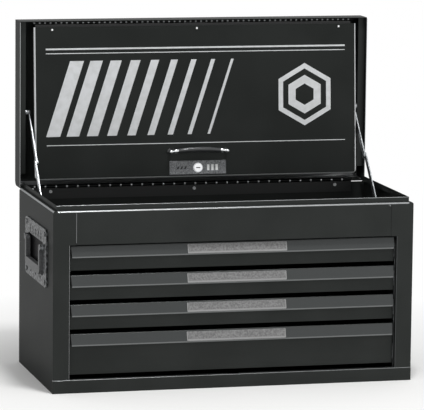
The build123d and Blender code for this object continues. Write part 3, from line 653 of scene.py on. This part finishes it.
def printedRing(bm, centre, outer, inner):
    # hexagonal ring of print
    low = coverFace - printDesign["sunk"]
    sides = printDesign["nutSides"]
    earlier = set(bm.verts)
    made = bmesh.ops.create_circle(bm, cap_ends=True, segments=sides, radius=outer)["verts"]
    middle = made[0].link_faces[0]
    depth = (outer - inner) * math.cos(math.pi / sides)
    rim = bmesh.ops.inset_region(
        bm, faces=[middle], thickness=depth, use_boundary=True, use_even_offset=True
    )["faces"]
    bmesh.ops.delete(bm, geom=[middle], context="FACES_ONLY")
    raised = bmesh.ops.extrude_face_region(bm, geom=rim, use_keep_orig=True)["geom"]
    risen = [item for item in raised if isinstance(item, bmesh.types.BMVert)]
    bmesh.ops.translate(bm, vec=(0, 0, printDesign["thick"]), verts=risen)
    whole = [vert for vert in bm.verts if vert not in earlier]
    bmesh.ops.translate(bm, vec=(*centre, low), verts=whole)


def makeCoverPrint():
    # silver line design printed on the cover
    bm = bmesh.new()
    for ring in printDesign["nutRings"]:
        printedRing(bm, printDesign["nut"], *ring)
    half = printDesign["lineHalf"]
    for up, width in printDesign["lines"]:
        printedBar(bm, -half, half, up + width / 2, up - width / 2, 0)
    first, last = printDesign["barWidth"]
    top, foot, slant = (printDesign[key] for key in ("barTop", "barFoot", "barSlant"))
    for index in range(printDesign["bars"]):
        share = index / (printDesign["bars"] - 1)
        left = printDesign["barFirst"] + index * printDesign["barPitch"]
        printedBar(bm, left, left + first + (last - first) * share, top, foot, slant)
    toCover(bm)
    finishPiece("coverPrint", bm, "cover", stripeInk)


def makeLockPrint(name, places, size, slant, material):
    # one row of small bars on the lock plate
    bm = bmesh.new()
    wide, tall = size
    top, foot = plugFace["up"] + tall / 2, plugFace["up"] - tall / 2
    for place in places:
        left, right = place - wide / 2, place + wide / 2
        printedBar(bm, left, right, top, foot, slant, lockPrint["plateThick"])
    toCover(bm)
    finishPiece(name, bm, "cover", material)


makeCoverPrint()
makeLockPrint("lockMarks", lockPrint["marks"], lockPrint["markSize"], 0, markEnamel)
dashSlant = lockPrint["dashSlant"]
makeLockPrint("lockDashes", lockPrint["dashes"], lockPrint["dashSize"], dashSlant, darkInk)
print("prints made")

turnSteps = 20


def turned(bm, outline, place):
    # solid turned about its own x axis, then moved to its place
    earlier = set(bm.verts)
    line = [bm.verts.new((along, radius, 0)) for along, radius in outline]
    edges = [bm.edges.new(pair) for pair in zip(line, line[1:])]
    bmesh.ops.spin(
        bm,
        geom=line + edges,
        cent=(0, 0, 0),
        axis=(1, 0, 0),
        angle=2 * math.pi,
        steps=turnSteps,
        use_merge=True,
    )
    swept = [vert for vert in bm.verts if vert not in earlier]
    bmesh.ops.remove_doubles(bm, verts=swept, dist=mergeGap)
    made = [vert for vert in bm.verts if vert not in earlier]
    bmesh.ops.transform(bm, matrix=place, verts=made)
    return made


barPull = {
    "up": -239.5,  # mm from the cover's hinge line
    "depth": 14.0,  # mm from the cover's face to the bar's middle line
    "span": 106.0,
    "bow": 3.5,  # mm that the middle of the bar stands above its ends
    # turned outlines in mm: place along the axis and radius
    "end": [
        (-4.4, 0.0), (-3.8, 2.2), (-2.2, 3.8), (0.0, 4.4), (2.2, 3.8), (3.6, 2.6), (5.0, 2.4),
        (5.4, 3.9), (6.2, 4.4), (12.0, 4.4), (12.8, 3.9), (13.0, 3.0), (13.0, 0.0),
    ],
    "post": [
        (-0.05, 0.0), (-0.05, 4.8), (1.0, 4.8), (1.8, 3.8), (2.8, 2.9), (12.0, 2.7), (12.0, 0.0),
    ],
    "grip": [
        (-40.5, 0.0), (-40.5, 3.6), (-38.0, 4.6), (-20.0, 5.2), (0.0, 5.4),
        (20.0, 5.2), (38.0, 4.6), (40.5, 3.6), (40.5, 0.0),
    ],
}


def bowed(bm, verts):
    # lifts the middle of the bar above its ends
    half = barPull["span"] / 2
    for vert in verts:
        rise = barPull["bow"] * max(0.0, 1 - (vert.co.x / half) ** 2)
        bmesh.ops.translate(bm, vec=(0, rise, 0), verts=[vert])


def makeBarPull():
    # black posts and grip with bright turned ends
    ends, grip = bmesh.new(), bmesh.new()
    lift = Matrix.Translation((0, 0, barPull["depth"]))
    for side in (-1, 1):
        foot = Matrix.Translation((side * barPull["span"] / 2, barPull["up"], coverFace))
        turned(grip, barPull["post"], foot @ Matrix.Rotation(-math.pi / 2, 4, "Y"))
        top = foot @ lift @ Matrix.Diagonal((-side, 1, 1, 1))
        bowed(ends, turned(ends, barPull["end"], top))
    middle = Matrix.Translation((0, barPull["up"], coverFace)) @ lift
    bowed(grip, turned(grip, barPull["grip"], middle))
    toCover(ends)
    toCover(grip)
    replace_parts(finishPiece("pullEnds", ends, "cover", chrome, True), "pull_posts")
    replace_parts(finishPiece("pullGrip", grip, "cover", gripPlastic, True), "pull_grip")


makeBarPull()
print("bar pull made")

headerStud = {
    "place": (284.9, -154.0, 319.6),  # mm, in the header's top right corner
    "outline": [(-0.3, 0.0), (-0.3, 1.9), (0.3, 1.9), (0.7, 1.4), (0.9, 0.0)],
}


def makeHeaderStud():
    # small domed stud on the header panel
    bm = bmesh.new()
    place = Matrix.Translation(headerStud["place"]) @ Matrix.Rotation(-math.pi / 2, 4, "Z")
    turned(bm, headerStud["outline"], place)
    bmesh.ops.scale(bm, vec=(mm, mm, mm), verts=bm.verts)
    finishPiece("headerStud", bm, "cabinet", coat, True)


makeHeaderStud()
print("header stud made")

studio = {
    "floorSize": 60.0,
    "floor": "f4f4f3",
    "floorRoughness": 0.9,
    "shadowReach": (0.34, 0.9),  # m from the middle, where the floor fades to plain white
    "ambient": 0.5,
    "lamps": [
        # name, place, aim, size, watts
        ("keyFromLeft", (-1.4, -3.0, 2.4), (0.0, 0.0, 0.3), 1.0, 16.0),
        ("fillFromRight", (2.8, -2.6, 1.5), (0.0, 0.0, 0.3), 2.2, 8.0),
        ("topLamp", (0.1, -0.9, 2.8), (0.0, 0.0, 0.3), 0.4, 44.0),
    ],
}


def seenRays(tree):
    # 1 for rays of the camera, of reflections and through glass
    rays = addNode(tree, "ShaderNodeLightPath")
    share = rays.outputs["Is Camera Ray"]
    for kind in ("Is Glossy Ray", "Is Transmission Ray"):
        either = {0: share, 1: rays.outputs[kind]}
        share = addNode(tree, "ShaderNodeMath", either, operation="MAXIMUM").outputs[0]
    return share


def makeFloor():
    # pale floor that keeps the chest's shadow and fades to the white of the world
    bm = bmesh.new()
    bmesh.ops.create_grid(bm, x_segments=1, y_segments=1, size=studio["floorSize"] / 2)
    mesh = bpy.data.meshes.new("studioFloor")
    bm.to_mesh(mesh)
    bm.free()
    floor = bpy.data.objects.new("studioFloor", mesh)
    bpy.context.scene.collection.objects.link(floor)
    material, tree, shader, spot = newMaterial("paleFloor")
    looks = {
        "Base Color": srgb(studio["floor"]),
        "Roughness": studio["floorRoughness"],
        "Specular IOR Level": 0.0,
    }
    fillInputs(tree, shader, looks)
    away = addNode(tree, "ShaderNodeVectorMath", {0: spot}, operation="LENGTH")
    near, wide = studio["shadowReach"]
    span = {"Value": away.outputs["Value"], "From Min": near, "From Max": wide}
    fade = addNode(tree, "ShaderNodeMapRange", span)
    both = {0: fade.outputs["Result"], 1: seenRays(tree)}
    share = addNode(tree, "ShaderNodeMath", both, operation="MULTIPLY")
    white = addNode(tree, "ShaderNodeEmission", {"Strength": 1.0})
    layers = {0: share.outputs[0], 1: shader.outputs[0], 2: white.outputs[0]}
    mix = addNode(tree, "ShaderNodeMixShader", layers)
    fillInputs(tree, tree.nodes["Material Output"], {"Surface": mix.outputs[0]})
    mesh.materials.append(material)


def makeWorld():
    # plain light, seen as white
    world = bpy.data.worlds.new("studioWorld")
    bpy.context.scene.world = world
    world.use_nodes = True
    tree = world.node_tree
    tree.nodes.clear()
    layers = {0: seenRays(tree)}
    for number, strength in ((1, studio["ambient"]), (2, 1.0)):
        glow = {"Color": srgb("ffffff"), "Strength": strength}
        layers[number] = addNode(tree, "ShaderNodeBackground", glow).outputs[0]
    mix = addNode(tree, "ShaderNodeMixShader", layers)
    addNode(tree, "ShaderNodeOutputWorld", {"Surface": mix.outputs[0]})


def makeLamps():
    # three soft lamps at a plain level
    for name, place, aim, size, watts in studio["lamps"]:
        data = bpy.data.lights.new(name, "AREA")
        data.size = size
        data.energy = watts
        lamp = bpy.data.objects.new(name, data)
        lamp.location = place
        lamp.rotation_mode = "QUATERNION"
        lamp.rotation_quaternion = (Vector(aim) - Vector(place)).to_track_quat("-Z", "Y")
        bpy.context.scene.collection.objects.link(lamp)


makeFloor()
makeWorld()
makeLamps()
print("studio made")

photoCamera = {
    "place": (-1.5087, -5.8574, 1.184),
    "yaw": 14.403,  # degrees to the right of +Y
    "pitch": 8.257,  # degrees down
    "roll": 0.606,
    "focalPixels": 3366.8,
    "imageWidth": 424,
    "sensor": 36.0,
    "clipEnd": 200,
}


def makeCamera():
    yaw, pitch, roll = (math.radians(photoCamera[key]) for key in ("yaw", "pitch", "roll"))
    data = bpy.data.cameras.new("photoCamera")
    data.sensor_width = photoCamera["sensor"]
    data.lens = photoCamera["focalPixels"] * photoCamera["sensor"] / photoCamera["imageWidth"]
    data.clip_end = photoCamera["clipEnd"]
    camera = bpy.data.objects.new("photoCamera", data)
    bpy.context.scene.collection.objects.link(camera)
    turn = Matrix.Rotation(-yaw, 4, "Z") @ Matrix.Rotation(math.pi / 2 - pitch, 4, "X")
    place = Matrix.Translation(photoCamera["place"])
    camera.matrix_world = place @ turn @ Matrix.Rotation(roll, 4, "Z")
    bpy.context.scene.camera = camera


makeCamera()
bpy.context.scene.view_settings.view_transform = "Standard"
print("camera made")
